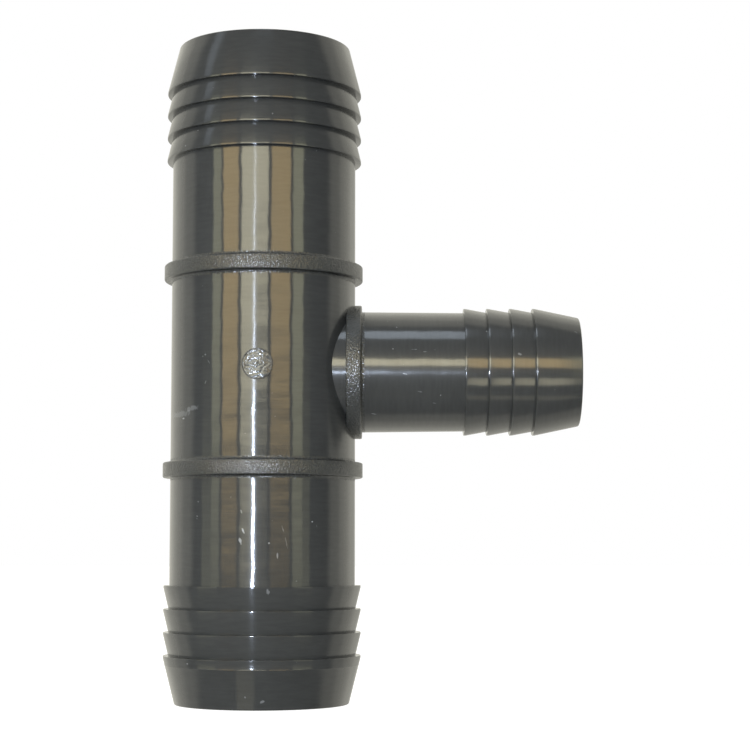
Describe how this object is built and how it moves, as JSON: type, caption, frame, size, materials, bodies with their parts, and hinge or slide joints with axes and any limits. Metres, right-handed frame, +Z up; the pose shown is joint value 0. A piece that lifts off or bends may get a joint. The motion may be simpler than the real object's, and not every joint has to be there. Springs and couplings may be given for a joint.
{
  "type": "barbed tee connector",
  "caption": "Reducing barbed tee connector for irrigation pipe, with barbed hose tails, stop collars and a smaller side branch.",
  "frame": {"origin": "where the run's axis and the branch's axis cross, in the middle of the run", "axes": "+Z up along the run, +X along the branch, -Y towards the side with the injection scar"},
  "size_m": [0.0895, 0.043, 0.1418],
  "materials": {
    "gloss_pvc": "smooth moulded dark grey PVC with faint turned lines around the tubes",
    "textured_pvc": "spark-textured dark grey PVC on the stop collars",
    "gate_scar": "rough swirled injection scar in the same PVC"
  },
  "bodies": {
    "root": {"run_barrel": "gloss_pvc", "branch_neck": "gloss_pvc", "upper_shank": "gloss_pvc", "upper_barb_1": "gloss_pvc", "upper_barb_2": "gloss_pvc", "upper_barb_3": "gloss_pvc", "upper_barb_4": "gloss_pvc", "lower_shank": "gloss_pvc", "lower_barb_1": "gloss_pvc", "lower_barb_2": "gloss_pvc", "lower_barb_3": "gloss_pvc", "lower_barb_4": "gloss_pvc", "branch_shank": "gloss_pvc", "branch_barb_1": "gloss_pvc", "branch_barb_2": "gloss_pvc", "branch_barb_3": "gloss_pvc", "branch_barb_4": "gloss_pvc", "upper_stop_collar": "textured_pvc", "lower_stop_collar": "textured_pvc", "branch_stop_collar": "textured_pvc", "gate_mark": "gate_scar"}
  },
  "joints": []
}
